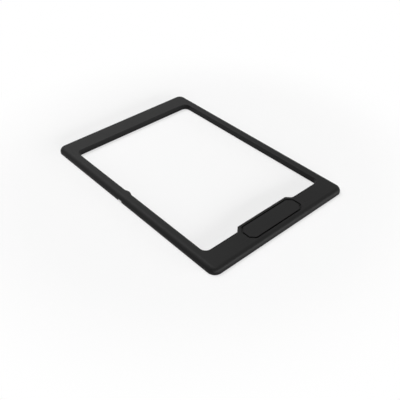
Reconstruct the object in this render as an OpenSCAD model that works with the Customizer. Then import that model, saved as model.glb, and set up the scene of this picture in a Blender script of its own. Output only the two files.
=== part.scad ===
// Hard drive spacer: a flat moulded frame that adds height, so that what it
// lies on fills a taller bay.
// Millimetres. X runs across the frame, Y along it, Z up. The frame's
// underside lies on Z = 0 and its middle is at X = 0, Y = 0.
// The end with the panel faces -Y.

/* [Frame] */
// Overall width
frame_w = 69.4; // [60:0.1:110]
// Overall length
frame_l = 99.3; // [80:0.1:160]
// Height that the frame adds
frame_h = 2.5; // [1.6:0.1:6]
// Plan radius of the four outer corners
corner_r = 3.2; // [2.4:0.1:8]
// Radius of the rounded upper outer edge
edge_r = 1.9; // [0.4:0.1:2.1]

/* [Window] */
// Width of the two long side bands
side_band = 4.3; // [3.6:0.1:14]
// Depth of the front end band, the one with the panel
front_band = 9.3; // [7.5:0.1:10.5]
// Depth of the rear end band
rear_band = 9.0; // [4:0.1:20]
// Plan radius of the window's corners
window_r = 2.5; // [0.8:0.1:6]

/* [Front panel] */
// Width of the eight-sided groove outline, across the frame
panel_w = 28.0; // [14:0.5:44]
// Depth of the groove outline, along the frame
panel_d = 8.1; // [6.8:0.1:9]
// Corner cut of the groove outline, at 45 degrees
panel_cut = 2.2; // [1:0.1:3]
// Distance from the front face to the groove outline
panel_inset = 2.2; // [2:0.1:3]
// Width of the groove
groove_w = 0.6; // [0.3:0.05:1]
// Depth of the groove below the upper face
groove_d = 0.6; // [0.2:0.05:1]
// Land left behind the groove, up to the widened inner edge
panel_land = 1.0; // [0.7:0.1:2]
// Land left beside the groove's cut corners, up to the slanted flanks
flank_land = 1.4; // [0.8:0.1:2.5]
// Rounding of the two hollow bends where the flanks meet the band
tab_r = 1.4; // [0.8:0.1:2]

/* [Round pocket] */
// Diameter of the round pocket in the underside
pocket_d = 4.2; // [2.4:0.1:5]
// Depth of the pocket, up from the underside
pocket_h = 0.8; // [0.3:0.1:1.2]
// Distance from the outer side face to the pocket's middle
pocket_in = 1.8; // [1.2:0.1:3]
// Place of the pocket along the frame, from the middle
pocket_y = 4.0; // [-25:0.5:25]
// Wall kept round the pocket
pocket_wall = 1.0; // [0.5:0.05:1.2]
// Hollow rounding where that wall meets the window's side
bulge_r = 2.0; // [0.8:0.1:3]

/* [Hidden] */
$fn = 96;

// Overlap of every cut past the face it opens
over = 0.3;
// Lowest upright band kept under the rounded outer edge
land_min = 0.3;

x_in = frame_w / 2 - side_band;
y_front = -frame_l / 2 + front_band;
y_rear = frame_l / 2 - rear_band;
edge_round = min(edge_r, frame_h - land_min, corner_r - land_min);

// Panel and the widened inner edge that follows it
panel_y = -frame_l / 2 + panel_inset + panel_d / 2;
tab_y = panel_y + panel_d / 2 + panel_land;
tab_out = tab_y - y_front;
tab_round = min(tab_r, 1.5 * tab_out);
tab_bend = tab_round * tan(22.5);
// The slanted flanks run parallel to the groove's cut corners. Their
// place is taken to a hundredth
tab_tip = round(100 * (panel_w / 2 - panel_cut - panel_land + flank_land * sqrt(2))) / 100;
tab_base = tab_tip + tab_out;

// Pocket and the wall round it, which bulges into the window
pocket_x = -frame_w / 2 + pocket_in;
bulge = pocket_d / 2 + pocket_wall;
bulge_out = pocket_x + bulge + x_in;
has_bulge = bulge_out > 0.05;
// Middle of the hollow rounding, from the pocket's middle
hollow_x = -x_in + bulge_r - pocket_x;
hollow_y = has_bulge ? sqrt(pow(bulge + bulge_r, 2) - pow(hollow_x, 2)) : 0;

body_colour = "#232325";

// Quarter-round cut for an upper edge: the edge is the origin, air on +X
module rim_profile(r) {
    translate([-r, -r])
        difference() {
            square(r + over);
            circle(r);
        }
}

// Straight run of the cut from a point. The air lies toward angle a and
// the run goes toward a - 90
module rim_line(x, y, a, run, r) {
    translate([x, y, frame_h])
        rotate([0, 0, a])
        rotate([90, 0, 0])
        linear_extrude(height = run)
        rim_profile(r);
}

// Curved run with the material inside the radius
module rim_out(x, y, rad, a, sweep, r) {
    translate([x, y, frame_h])
        rotate([0, 0, a])
        rotate_extrude(angle = sweep)
        translate([rad, 0])
        rim_profile(r);
}

// Plan rectangle with round corners, from two corner points
module round_plan(x0, y0, x1, y1, r) {
    translate([x0 + r, y0])
        square([x1 - x0 - 2 * r, y1 - y0]);
    translate([x0, y0 + r])
        square([x1 - x0, y1 - y0 - 2 * r]);
    for (x = [x0 + r, x1 - r])
        for (y = [y0 + r, y1 - r])
            translate([x, y])
                circle(r);
}

// Eight-sided plan with 45 degree corners
module eight_plan(w, d, c) {
    polygon([
        [-w / 2, -d / 2 + c], [-w / 2 + c, -d / 2],
        [w / 2 - c, -d / 2], [w / 2, -d / 2 + c],
        [w / 2, d / 2 - c], [w / 2 - c, d / 2],
        [-w / 2 + c, d / 2], [-w / 2, d / 2 - c]
    ]);
}

// Widened inner edge of the front band, with 45 degree flanks
module tab_plan() {
    polygon([
        [-tab_base - over, y_front - over], [-tab_base, y_front],
        [-tab_tip, tab_y], [tab_tip, tab_y],
        [tab_base, y_front], [tab_base + over, y_front - over]
    ]);
    // Hollow bends where the flanks meet the band
    reach = tab_round * 1.25;
    slant = reach * sqrt(0.5);
    for (s = [-1, 1])
        translate([s * tab_base, y_front])
        translate([s * tab_bend, tab_round])
        difference() {
            polygon([[0, 0], [-s * slant, -slant], [0, -reach]]);
            circle(tab_round);
        }
}

// Wall round the pocket, as far as it shows in the window
module bulge_plan() {
    translate([pocket_x, pocket_y])
        circle(bulge);
    // Hollow roundings where the wall runs into the window's side
    for (s = [-1, 1])
        translate([pocket_x, pocket_y])
        translate([hollow_x, s * hollow_y])
        difference() {
            polygon([[0, 0], [-bulge_r - over, 0], [-hollow_x, -s * hollow_y]]);
            circle(bulge_r);
        }
}

module window_plan() {
    difference() {
        round_plan(-x_in, y_front, x_in, y_rear, window_r);
        tab_plan();
        if (has_bulge)
            bulge_plan();
    }
}

// Rounded upper outer edge
module outer_rim() {
    run_x = frame_w - 2 * corner_r;
    run_y = frame_l - 2 * corner_r;
    rim_line(run_x / 2, -frame_l / 2, -90, run_x, edge_round);
    rim_line(-run_x / 2, frame_l / 2, 90, run_x, edge_round);
    rim_line(frame_w / 2, run_y / 2, 0, run_y, edge_round);
    rim_line(-frame_w / 2, -run_y / 2, 180, run_y, edge_round);
    rim_out(run_x / 2, run_y / 2, corner_r, 0, 90, edge_round);
    rim_out(-run_x / 2, run_y / 2, corner_r, 90, 90, edge_round);
    rim_out(-run_x / 2, -run_y / 2, corner_r, 180, 90, edge_round);
    rim_out(run_x / 2, -run_y / 2, corner_r, 270, 90, edge_round);
}

// Groove that outlines the bare panel
module panel_groove() {
    inner_cut = panel_cut - groove_w * (2 - sqrt(2));
    translate([0, panel_y, frame_h - groove_d])
        linear_extrude(height = groove_d + over)
        difference() {
            eight_plan(panel_w, panel_d, panel_cut);
            eight_plan(panel_w - 2 * groove_w, panel_d - 2 * groove_w, inner_cut);
        }
}

module spacer_frame() {
    color(body_colour)
        difference() {
            linear_extrude(height = frame_h)
                difference() {
                    round_plan(-frame_w / 2, -frame_l / 2, frame_w / 2, frame_l / 2, corner_r);
                    window_plan();
                }
            outer_rim();
            panel_groove();
            translate([pocket_x, pocket_y, -over])
                cylinder(d = pocket_d, h = pocket_h + over);
        }
}

spacer_frame();
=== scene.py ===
import math

import bmesh
import bpy
from mathutils import Matrix, Vector
from mathutils.geometry import tessellate_polygon


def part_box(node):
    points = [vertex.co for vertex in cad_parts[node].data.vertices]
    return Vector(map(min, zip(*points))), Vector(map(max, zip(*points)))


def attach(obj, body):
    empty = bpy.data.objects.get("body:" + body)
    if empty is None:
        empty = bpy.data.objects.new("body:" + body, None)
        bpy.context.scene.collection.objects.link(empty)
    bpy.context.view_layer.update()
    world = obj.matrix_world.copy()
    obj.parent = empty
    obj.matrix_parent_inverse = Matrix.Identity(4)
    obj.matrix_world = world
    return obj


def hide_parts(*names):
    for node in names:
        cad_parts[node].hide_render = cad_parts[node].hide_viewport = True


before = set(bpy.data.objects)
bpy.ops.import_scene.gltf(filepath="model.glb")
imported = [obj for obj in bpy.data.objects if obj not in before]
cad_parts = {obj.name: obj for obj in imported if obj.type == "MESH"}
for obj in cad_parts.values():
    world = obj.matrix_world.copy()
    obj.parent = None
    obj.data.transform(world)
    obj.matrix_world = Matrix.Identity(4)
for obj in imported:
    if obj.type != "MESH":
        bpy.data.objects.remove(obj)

bl_info = {
    "name": "Hard Drive Spacer",
    "version": (1, 0, 0),
    "blender": (4, 5, 0),
    "location": "View3D > Sidebar > Spacer",
    "description": "Builds the moulded spacer frame and its studio stage",
    "category": "Add Mesh",
}

MM = 0.001
LOW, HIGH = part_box("spacer_frame")
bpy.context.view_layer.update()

# Roundings of the groove's lips, the groove's bottom bends and the pocket's mouth and roof
GROOVE_LIP = 0.08 * MM
GROOVE_BEND = 0.12 * MM
POCKET_EDGE = 0.08 * MM
# Faces meeting at a sharper bend than this keep a crisp edge
CRISP = math.radians(38)


# Sizes and colours


class SpacerSizes(bpy.types.PropertyGroup):
    """Sizes of the moulded frame."""

    width: bpy.props.FloatProperty(
        name="Width",
        description="Overall width",
        default=HIGH[0] - LOW[0],
        unit="LENGTH",
    )
    length: bpy.props.FloatProperty(
        name="Length",
        description="Overall length",
        default=HIGH[1] - LOW[1],
        unit="LENGTH",
    )
    height: bpy.props.FloatProperty(
        name="Height",
        description="Height that the frame adds",
        default=HIGH[2] - LOW[2],
        unit="LENGTH",
    )
    corner_radius: bpy.props.FloatProperty(
        name="Corner radius",
        description="Plan radius of the outer corners",
        default=3.2 * MM,
        unit="LENGTH",
    )
    edge_radius: bpy.props.FloatProperty(
        name="Edge radius",
        description="Radius of the rounded upper outer edge",
        default=1.9 * MM,
        unit="LENGTH",
    )
    side_band: bpy.props.FloatProperty(
        name="Side band",
        description="Width of the two long bands",
        default=4.3 * MM,
        unit="LENGTH",
    )
    front_band: bpy.props.FloatProperty(
        name="Front band",
        description="Depth of the end band with the panel",
        default=9.3 * MM,
        unit="LENGTH",
    )
    rear_band: bpy.props.FloatProperty(
        name="Rear band",
        description="Depth of the plain end band",
        default=9.0 * MM,
        unit="LENGTH",
    )
    window_radius: bpy.props.FloatProperty(
        name="Window corner",
        description="Plan radius of the window's corners",
        default=2.5 * MM,
        unit="LENGTH",
    )
    lip_radius: bpy.props.FloatProperty(
        name="Window edge",
        description="Rounding of the window's upper edge",
        default=0.3 * MM,
        unit="LENGTH",
    )
    foot_radius: bpy.props.FloatProperty(
        name="Foot edge",
        description="Rounding of the edges on the underside",
        default=0.1 * MM,
        unit="LENGTH",
    )
    tab_depth: bpy.props.FloatProperty(
        name="Widening",
        description="How far the front band widens behind the panel",
        default=2.0 * MM,
        unit="LENGTH",
    )
    tab_half: bpy.props.FloatProperty(
        name="Widening half width",
        description="Half of the widened edge's straight length",
        default=12.78 * MM,
        unit="LENGTH",
    )
    tab_radius: bpy.props.FloatProperty(
        name="Widening bend",
        description="Plan radius where the slanted flanks meet the band",
        default=1.4 * MM,
        unit="LENGTH",
    )
    tab_tip_radius: bpy.props.FloatProperty(
        name="Widening tip",
        description="Plan radius where the slanted flanks meet the widened edge",
        default=0.7 * MM,
        unit="LENGTH",
    )
    panel_width: bpy.props.FloatProperty(
        name="Panel width",
        description="Width of the groove round the panel",
        default=28.0 * MM,
        unit="LENGTH",
    )
    panel_depth: bpy.props.FloatProperty(
        name="Panel depth",
        description="Depth of the groove's outline along the frame",
        default=8.1 * MM,
        unit="LENGTH",
    )
    panel_cut: bpy.props.FloatProperty(
        name="Panel corner",
        description="Length that each 45 degree corner takes off",
        default=2.2 * MM,
        unit="LENGTH",
    )
    panel_inset: bpy.props.FloatProperty(
        name="Panel inset",
        description="Distance from the front face to the groove",
        default=2.2 * MM,
        unit="LENGTH",
    )
    panel_radius: bpy.props.FloatProperty(
        name="Panel bend",
        description="Plan radius of the groove's eight bends",
        default=0.4 * MM,
        unit="LENGTH",
    )
    groove_width: bpy.props.FloatProperty(
        name="Groove width",
        description="Width of the groove",
        default=0.6 * MM,
        unit="LENGTH",
    )
    groove_depth: bpy.props.FloatProperty(
        name="Groove depth",
        description="Depth of the groove",
        default=0.6 * MM,
        unit="LENGTH",
    )
    pocket_width: bpy.props.FloatProperty(
        name="Round pocket",
        description="Diameter of the pocket in the underside",
        default=4.2 * MM,
        unit="LENGTH",
    )
    pocket_depth: bpy.props.FloatProperty(
        name="Pocket depth",
        description="Depth of the pocket from the underside",
        default=0.8 * MM,
        unit="LENGTH",
    )
    pocket_inset: bpy.props.FloatProperty(
        name="Pocket inset",
        description="Distance from the outer face to the pocket's middle",
        default=1.8 * MM,
        unit="LENGTH",
    )
    pocket_place: bpy.props.FloatProperty(
        name="Pocket place",
        description="Place of the pocket along the frame",
        default=4.0 * MM,
        unit="LENGTH",
    )
    pocket_wall: bpy.props.FloatProperty(
        name="Pocket wall",
        description="Wall round the pocket, which bulges into the window",
        default=1.0 * MM,
        unit="LENGTH",
    )
    bulge_radius: bpy.props.FloatProperty(
        name="Bulge bend",
        description="Hollow rounding where the bulge runs into the window's side",
        default=2.0 * MM,
        unit="LENGTH",
    )


class SpacerFinish(bpy.types.PropertyGroup):
    """Colours and finish of the moulded frame and the stage."""

    plastic: bpy.props.FloatVectorProperty(
        name="Plastic",
        description="Colour of the moulded plastic",
        subtype="COLOR",
        size=3,
        min=0.0,
        max=1.0,
        default=(0.005, 0.005, 0.005),
    )
    roughness: bpy.props.FloatProperty(
        name="Roughness",
        description="Roughness of the moulded surface",
        subtype="FACTOR",
        min=0.0,
        max=1.0,
        default=0.45,
    )
    gloss: bpy.props.FloatProperty(
        name="Gloss",
        description="Strength of the moulded surface's reflection",
        subtype="FACTOR",
        min=0.0,
        max=1.0,
        default=0.11,
    )
    grain: bpy.props.FloatProperty(
        name="Grain depth",
        description="Depth of the fine moulded grain",
        default=0.012 * MM,
        unit="LENGTH",
    )
    floor: bpy.props.FloatVectorProperty(
        name="Floor",
        description="Colour of the floor",
        subtype="COLOR",
        size=3,
        min=0.0,
        max=1.0,
        default=(0.95, 0.95, 0.95),
    )


# Outlines


def rounded_outline(corners, step=math.radians(6)):
    """Closed outline through corners (x, y, radius), run anticlockwise.

    Gives (point, outward normal) pairs, so a ring at any offset has the same count.
    """
    out = []
    n = len(corners)
    for i, (x, y, r) in enumerate(corners):
        here = Vector((x, y))
        before = Vector(corners[i - 1][:2])
        after = Vector(corners[(i + 1) % n][:2])
        u, v = (here - before).normalized(), (after - here).normalized()
        turn = math.atan2(u.x * v.y - u.y * v.x, u.dot(v))
        sign = 1 if turn > 0 else -1
        start = here - u * (r * math.tan(abs(turn) / 2))
        centre = start + Vector((-u.y, u.x)) * (sign * r)
        parts = max(2, math.ceil(abs(turn) / step))
        for k in range(parts + 1):
            a = turn * k / parts
            cos, sin = math.cos(a), math.sin(a)
            along = Vector((u.x * cos - u.y * sin, u.x * sin + u.y * cos))
            normal = Vector((along.y, -along.x))
            out.append((centre + normal * (sign * r), normal))
    return out


def outer_outline(s):
    x, y, r = s.width / 2, s.length / 2, s.corner_radius
    return rounded_outline([(x, y, r), (-x, y, r), (-x, -y, r), (x, -y, r)])


def window_outline(s):
    x = s.width / 2 - s.side_band
    front = -s.length / 2 + s.front_band
    rear = s.length / 2 - s.rear_band
    r, bend, tip = s.window_radius, s.tab_radius, s.tab_tip_radius
    base = s.tab_half + s.tab_depth
    # Bulge round the pocket: one round nose between two hollow bends
    middle = s.pocket_inset - s.width / 2
    nose = s.pocket_width / 2 + s.pocket_wall
    away = -x + s.bulge_radius - middle
    angle = math.acos(away / (nose + s.bulge_radius))
    side = (nose + s.bulge_radius) * math.sin(angle) - s.bulge_radius * math.tan(angle / 2)
    return rounded_outline(
        [
            (x, front, r),
            (x, rear, r),
            (-x, rear, r),
            (-x, s.pocket_place + side, s.bulge_radius),
            (middle + nose / math.cos(angle), s.pocket_place, nose),
            (-x, s.pocket_place - side, s.bulge_radius),
            (-x, front, r),
            (-base, front, bend),
            (-s.tab_half, front + s.tab_depth, tip),
            (s.tab_half, front + s.tab_depth, tip),
            (base, front, bend),
        ]
    )


def groove_outline(s):
    x, d, c, r = s.panel_width / 2, s.panel_depth / 2, s.panel_cut, s.panel_radius
    y = -s.length / 2 + s.panel_inset + d
    return rounded_outline(
        [
            (x, y - d + c, r),
            (x, y + d - c, r),
            (x - c, y + d, r),
            (-x + c, y + d, r),
            (-x, y + d - c, r),
            (-x, y - d + c, r),
            (-x + c, y - d, r),
            (x - c, y - d, r),
        ]
    )


def arc(x, z, r, start, end, steps):
    """Points (offset, height) of an arc in a profile, between two angles in degrees."""
    angles = [math.radians(start + (end - start) * k / steps) for k in range(steps + 1)]
    return [(x + r * math.cos(a), z + r * math.sin(a)) for a in angles]


# Mesh


def add_rings(bm, outline, profile):
    """One ring of vertices for each profile point (offset, height), joined by quads."""
    rings = []
    for offset, z in profile:
        ring = []
        for p, normal in outline:
            q = p + normal * offset
            ring.append(bm.verts.new((q.x, q.y, z)))
        rings.append(ring)
    for low, high in zip(rings, rings[1:]):
        for i in range(len(low)):
            j = (i + 1) % len(low)
            bm.faces.new((low[i], low[j], high[j], high[i]))
    return rings


def fill_flat(bm, loops):
    """Flat face between an outer loop of vertices and the loops inside it."""
    verts = [v for loop in loops for v in loop]
    for tri in tessellate_polygon([[v.co for v in loop] for loop in loops]):
        corners = [verts[i] for i in tri]
        if len(set(corners)) == 3:
            bm.faces.new(corners)


def cut_with(obj, cutter):
    """Takes the cutter's volume out of the object for good, and removes the cutter."""
    mod = obj.modifiers.new("Pocket", "BOOLEAN")
    mod.operation = "DIFFERENCE"
    mod.solver = "EXACT"
    mod.object = cutter
    dg = bpy.context.evaluated_depsgraph_get()
    mesh = bpy.data.meshes.new_from_object(obj.evaluated_get(dg))
    if not mesh.polygons:
        raise RuntimeError("Cutting the pocket left no mesh")
    obj.modifiers.clear()
    old, obj.data = obj.data, mesh
    bpy.data.meshes.remove(old)
    bpy.data.objects.remove(cutter)


def pocket_cutter(s):
    """Round cutter for the pocket, flared at its mouth and rounded at its roof."""
    x, y = s.pocket_inset - s.width / 2, s.pocket_place
    r, roof, flare = s.pocket_width / 2, s.pocket_depth, POCKET_EDGE
    # The flare runs on below the underside with the same slope
    below = 4 * flare
    profile = [
        (r + flare + below, -below),
        (r + flare, 0.0),
        (r, flare),
        (r, roof - flare),
        (r - flare, roof),
    ]
    sides = 72
    turns = [2 * math.pi * k / sides for k in range(sides)]
    round_outline = [(Vector((x, y)), Vector((math.cos(a), math.sin(a)))) for a in turns]
    bm = bmesh.new()
    rings = add_rings(bm, round_outline, profile)
    bm.faces.new(list(reversed(rings[0])))
    bm.faces.new(rings[-1])
    mesh = bpy.data.meshes.new("pocket_cutter")
    bm.to_mesh(mesh)
    bm.free()
    obj = bpy.data.objects.new("pocket_cutter", mesh)
    bpy.context.scene.collection.objects.link(obj)
    return obj


# Materials


def new_material(name):
    mat = bpy.data.materials.new(name)
    mat.use_nodes = True
    mat.node_tree.nodes.clear()
    return mat, mat.node_tree


def link(tree, a, out, b, into):
    tree.links.new(a.outputs[out], b.inputs[into])


def noise(tree, place, scale, detail):
    """Noise texture in the object's own space."""
    node = tree.nodes.new("ShaderNodeTexNoise")
    node.inputs["Scale"].default_value = scale
    node.inputs["Detail"].default_value = detail
    link(tree, place, "Object", node, "Vector")
    return node


def toned(colour, share):
    """The colour times a share, with its alpha."""
    return (*(c * share for c in colour), 1)


def moulded_plastic(finish):
    """Near-black moulded plastic with a fine matt grain and slightly rubbed edges."""
    mat, tree = new_material("moulded_plastic")
    nodes = tree.nodes
    out = nodes.new("ShaderNodeOutputMaterial")
    shader = nodes.new("ShaderNodeBsdfPrincipled")
    link(tree, shader, "BSDF", out, "Surface")
    shader.inputs["Specular IOR Level"].default_value = finish.gloss
    place = nodes.new("ShaderNodeTexCoord")

    # Broad, faint unevenness of the colour, as the melt flowed
    flow = noise(tree, place, 90, 4)
    tone = nodes.new("ShaderNodeMix")
    tone.data_type = "RGBA"
    tone.inputs["A"].default_value = toned(finish.plastic, 0.88)
    tone.inputs["B"].default_value = toned(finish.plastic, 1.12)
    link(tree, flow, "Fac", tone, "Factor")

    # Edges rubbed a little paler: where the rounded normal leaves the surface's own
    soft = nodes.new("ShaderNodeBevel")
    soft.samples = 6
    soft.inputs["Radius"].default_value = 0.35 * MM
    own = nodes.new("ShaderNodeNewGeometry")
    dot = nodes.new("ShaderNodeVectorMath")
    dot.operation = "DOT_PRODUCT"
    link(tree, soft, "Normal", dot, 0)
    link(tree, own, "Normal", dot, 1)
    edge = nodes.new("ShaderNodeMapRange")
    edge.inputs["From Min"].default_value = 1.0
    edge.inputs["From Max"].default_value = 0.86
    edge.inputs["To Min"].default_value = 0.0
    edge.inputs["To Max"].default_value = 0.5
    link(tree, dot, "Value", edge, "Value")
    rub = noise(tree, place, 700, 3)
    worn = nodes.new("ShaderNodeMath")
    worn.operation = "MULTIPLY"
    link(tree, edge, "Result", worn, 0)
    link(tree, rub, "Fac", worn, 1)
    skin = nodes.new("ShaderNodeMix")
    skin.data_type = "RGBA"
    link(tree, worn, "Value", skin, "Factor")
    link(tree, tone, "Result", skin, "A")
    skin.inputs["B"].default_value = toned(finish.plastic, 2.6)
    link(tree, skin, "Result", shader, "Base Color")

    # Roughness varies a little with the grain
    patch = noise(tree, place, 260, 5)
    rough = nodes.new("ShaderNodeMapRange")
    rough.inputs["To Min"].default_value = finish.roughness - 0.05
    rough.inputs["To Max"].default_value = finish.roughness + 0.05
    link(tree, patch, "Fac", rough, "Value")
    link(tree, rough, "Result", shader, "Roughness")

    # Fine eroded grain of the mould's surface
    grain = noise(tree, place, 4200, 3)
    pits = nodes.new("ShaderNodeTexVoronoi")
    pits.inputs["Scale"].default_value = 2600
    link(tree, place, "Object", pits, "Vector")
    both = nodes.new("ShaderNodeMath")
    both.operation = "ADD"
    link(tree, grain, "Fac", both, 0)
    link(tree, pits, "Distance", both, 1)
    bump = nodes.new("ShaderNodeBump")
    bump.inputs["Strength"].default_value = 0.35
    bump.inputs["Distance"].default_value = finish.grain
    link(tree, both, "Value", bump, "Height")
    link(tree, bump, "Normal", shader, "Normal")
    return mat


def seen_directly(tree):
    """1 for the rays of the camera, of reflections and of glass, and 0 for light on the object."""
    path = tree.nodes.new("ShaderNodeLightPath")
    gloss = tree.nodes.new("ShaderNodeMath")
    gloss.operation = "MAXIMUM"
    link(tree, path, "Is Camera Ray", gloss, 0)
    link(tree, path, "Is Glossy Ray", gloss, 1)
    seen = tree.nodes.new("ShaderNodeMath")
    seen.operation = "MAXIMUM"
    link(tree, gloss, "Value", seen, 0)
    link(tree, path, "Is Transmission Ray", seen, 1)
    return seen


def pale_floor(finish):
    """Plain pale floor that keeps the frame's shadow and runs out to plain white."""
    mat, tree = new_material("pale_floor")
    nodes = tree.nodes
    out = nodes.new("ShaderNodeOutputMaterial")
    matt = nodes.new("ShaderNodeBsdfDiffuse")
    matt.inputs["Color"].default_value = (*finish.floor, 1)
    white = nodes.new("ShaderNodeEmission")
    both = nodes.new("ShaderNodeMixShader")
    link(tree, matt, "BSDF", both, 1)
    link(tree, white, "Emission", both, 2)
    link(tree, both, "Shader", out, "Surface")
    place = nodes.new("ShaderNodeTexCoord")
    far = nodes.new("ShaderNodeVectorMath")
    far.operation = "LENGTH"
    link(tree, place, "Object", far, 0)
    fade = nodes.new("ShaderNodeMapRange")
    fade.interpolation_type = "SMOOTHSTEP"
    # Distances from the origin between which the floor turns to plain white
    fade.inputs["From Min"].default_value = 62 * MM
    fade.inputs["From Max"].default_value = 115 * MM
    # Share of plain white under the frame itself, where its shadow stays
    fade.inputs["To Min"].default_value = 0.45
    link(tree, far, "Value", fade, "Value")
    share = nodes.new("ShaderNodeMath")
    share.operation = "MULTIPLY"
    link(tree, fade, "Result", share, 0)
    link(tree, seen_directly(tree), "Value", share, 1)
    link(tree, share, "Value", both, "Fac")
    return mat


# Operators


class SPACER_OT_frame(bpy.types.Operator):
    """Build the moulded frame with its rounded edges, groove and round pocket"""

    bl_idname = "spacer.build_frame"
    bl_label = "Moulded frame"

    def execute(self, context):
        s = context.scene.spacer_sizes
        h, foot, lip, edge = s.height, s.foot_radius, s.lip_radius, s.edge_radius
        bm = bmesh.new()

        # Outer wall: foot edge, low upright land, large upper rounding
        profile = arc(-foot, foot, foot, -90, 0, 3) + arc(-edge, h - edge, edge, 0, 90, 16)
        outer = add_rings(bm, outer_outline(s), profile)

        # Window wall, run downward: upper edge, upright wall, foot edge
        profile = arc(lip, h - lip, lip, 90, 180, 6) + arc(foot, foot, foot, 180, 270, 3)
        window = add_rings(bm, window_outline(s), profile)

        # Groove: down its outer wall, across its floor and up to the panel
        soft, low, w = GROOVE_LIP, GROOVE_BEND, s.groove_width
        floor = h - s.groove_depth
        profile = arc(soft, h - soft, soft, 90, 180, 3)
        profile += arc(-low, floor + low, low, 0, -90, 3)
        profile += arc(low - w, floor + low, low, -90, -180, 3)
        profile += arc(-w - soft, h - soft, soft, 0, 90, 3)
        groove = add_rings(bm, groove_outline(s), profile)

        fill_flat(bm, [outer[-1], window[0], groove[0]])
        fill_flat(bm, [groove[-1]])
        fill_flat(bm, [outer[0], window[-1]])
        bmesh.ops.remove_doubles(bm, verts=bm.verts, dist=1e-7)
        bmesh.ops.recalc_face_normals(bm, faces=bm.faces)
        mesh = bpy.data.meshes.new("moulded_frame")
        bm.to_mesh(mesh)
        bm.free()
        obj = bpy.data.objects.new("moulded_frame", mesh)
        context.scene.collection.objects.link(obj)

        # Round pocket, which breaks out through the outer face
        cut_with(obj, pocket_cutter(s))

        mesh = obj.data
        mesh.shade_smooth()
        mesh.set_sharp_from_angle(angle=CRISP)
        even = obj.modifiers.new("Even normals", "WEIGHTED_NORMAL")
        even.keep_sharp = True
        even.weight = 80
        mesh.materials.clear()
        mesh.materials.append(moulded_plastic(context.scene.spacer_finish))
        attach(obj, "root")
        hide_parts("spacer_frame")
        return {"FINISHED"}


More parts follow.
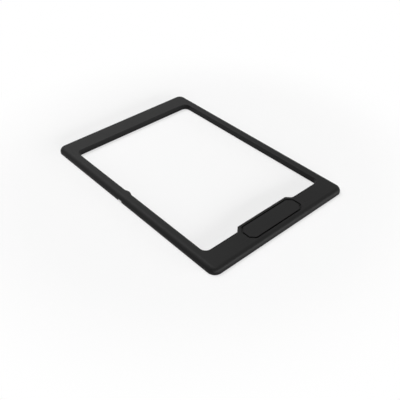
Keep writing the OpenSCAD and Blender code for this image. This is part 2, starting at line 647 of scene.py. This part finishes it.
class SPACER_OT_stage(bpy.types.Operator):
    """Build the floor, the soft lights, the pale surroundings and the camera"""

    bl_idname = "spacer.build_stage"
    bl_label = "Stage"

    def execute(self, context):
        scene = context.scene
        finish = scene.spacer_finish
        mesh = bpy.data.meshes.new("floor")
        r = 3.0
        mesh.from_pydata([(-r, -r, 0), (r, -r, 0), (r, r, 0), (-r, r, 0)], [], [(0, 1, 2, 3)])
        floor = bpy.data.objects.new("floor", mesh)
        # Just under the frame, so that the two faces don't share one plane
        floor.location.z = -0.02 * MM
        floor.data.materials.append(pale_floor(finish))
        scene.collection.objects.link(floor)

        # Name, level direction, height angle, distance, width and height, power
        self.softbox("overhead_softbox", (0.0, 1.0), 76, 0.9, (0.8, 0.8), 5.5)
        self.softbox("rear_softbox", (0.0, 1.0), 55, 0.9, (0.5, 0.5), 1.3)
        self.softbox("far_softbox", (0.3, 0.95), 40, 0.6, (0.35, 0.35), 0.3)
        self.softbox("left_softbox", (-0.74, 0.67), 40, 0.9, (0.6, 0.6), 1.0)
        self.softbox("front_strip", (0.0, -1.0), 8.5, 0.6, (1.2, 0.14), 7.0)
        self.surroundings(scene)
        self.camera(scene)
        scene.view_settings.view_transform = "Standard"
        return {"FINISHED"}

    def softbox(self, name, toward, height, distance, size, watts):
        """Soft rectangular lamp that faces the origin."""
        data = bpy.data.lights.new(name, "AREA")
        data.shape = "RECTANGLE"
        data.size, data.size_y = size
        data.energy = watts
        obj = bpy.data.objects.new(name, data)
        level = Vector(toward).normalized() * math.cos(math.radians(height))
        obj.location = Vector((level.x, level.y, math.sin(math.radians(height)))) * distance
        obj.rotation_mode = "QUATERNION"
        obj.rotation_quaternion = (-obj.location).to_track_quat("-Z", "Y")
        bpy.context.scene.collection.objects.link(obj)

    def surroundings(self, scene):
        """White room that shows behind the floor and in reflections, and adds no light."""
        world = bpy.data.worlds.new("white_room")
        world.use_nodes = True
        tree = world.node_tree
        tree.nodes.clear()
        out = tree.nodes.new("ShaderNodeOutputWorld")
        white = tree.nodes.new("ShaderNodeBackground")
        white.inputs["Color"].default_value = (1, 1, 1, 1)
        link(tree, seen_directly(tree), "Value", white, "Strength")
        link(tree, white, "Background", out, "Surface")
        scene.world = world

    def camera(self, scene):
        """Camera at the photograph's angle."""
        data = bpy.data.cameras.new("camera")
        data.sensor_width = 36
        data.lens = 51.79
        data.clip_start, data.clip_end = 0.01, 20
        obj = bpy.data.objects.new("camera", data)
        right = Vector((0.746, -0.66595, 0.00055))
        up = Vector((0.42229, 0.47369, 0.77284))
        back = Vector((-0.51494, -0.5763, 0.6346))
        turn = Matrix((right, up, back)).transposed()
        obj.rotation_mode = "QUATERNION"
        obj.rotation_quaternion = turn.to_quaternion().normalized()
        obj.location = (-0.12582, -0.14453, 0.14165)
        scene.collection.objects.link(obj)
        scene.camera = obj


# Panel and registration


class SPACER_PT_panel(bpy.types.Panel):
    """Sizes, finish and build steps of the spacer"""

    bl_idname = "SPACER_PT_panel"
    bl_label = "Hard Drive Spacer"
    bl_space_type = "VIEW_3D"
    bl_region_type = "UI"
    bl_category = "Spacer"

    def draw(self, context):
        layout = self.layout
        for group in (context.scene.spacer_sizes, context.scene.spacer_finish):
            box = layout.box()
            for name in group.__annotations__:
                box.prop(group, name)
        layout.operator(SPACER_OT_frame.bl_idname)
        layout.operator(SPACER_OT_stage.bl_idname)


CLASSES = (SpacerSizes, SpacerFinish, SPACER_OT_frame, SPACER_OT_stage, SPACER_PT_panel)


def register():
    for c in CLASSES:
        bpy.utils.register_class(c)
    bpy.types.Scene.spacer_sizes = bpy.props.PointerProperty(type=SpacerSizes)
    bpy.types.Scene.spacer_finish = bpy.props.PointerProperty(type=SpacerFinish)


def unregister():
    del bpy.types.Scene.spacer_finish
    del bpy.types.Scene.spacer_sizes
    for c in reversed(CLASSES):
        bpy.utils.unregister_class(c)


def main():
    register()
    bpy.ops.spacer.build_frame()
    bpy.ops.spacer.build_stage()


if __name__ == "__main__":
    main()
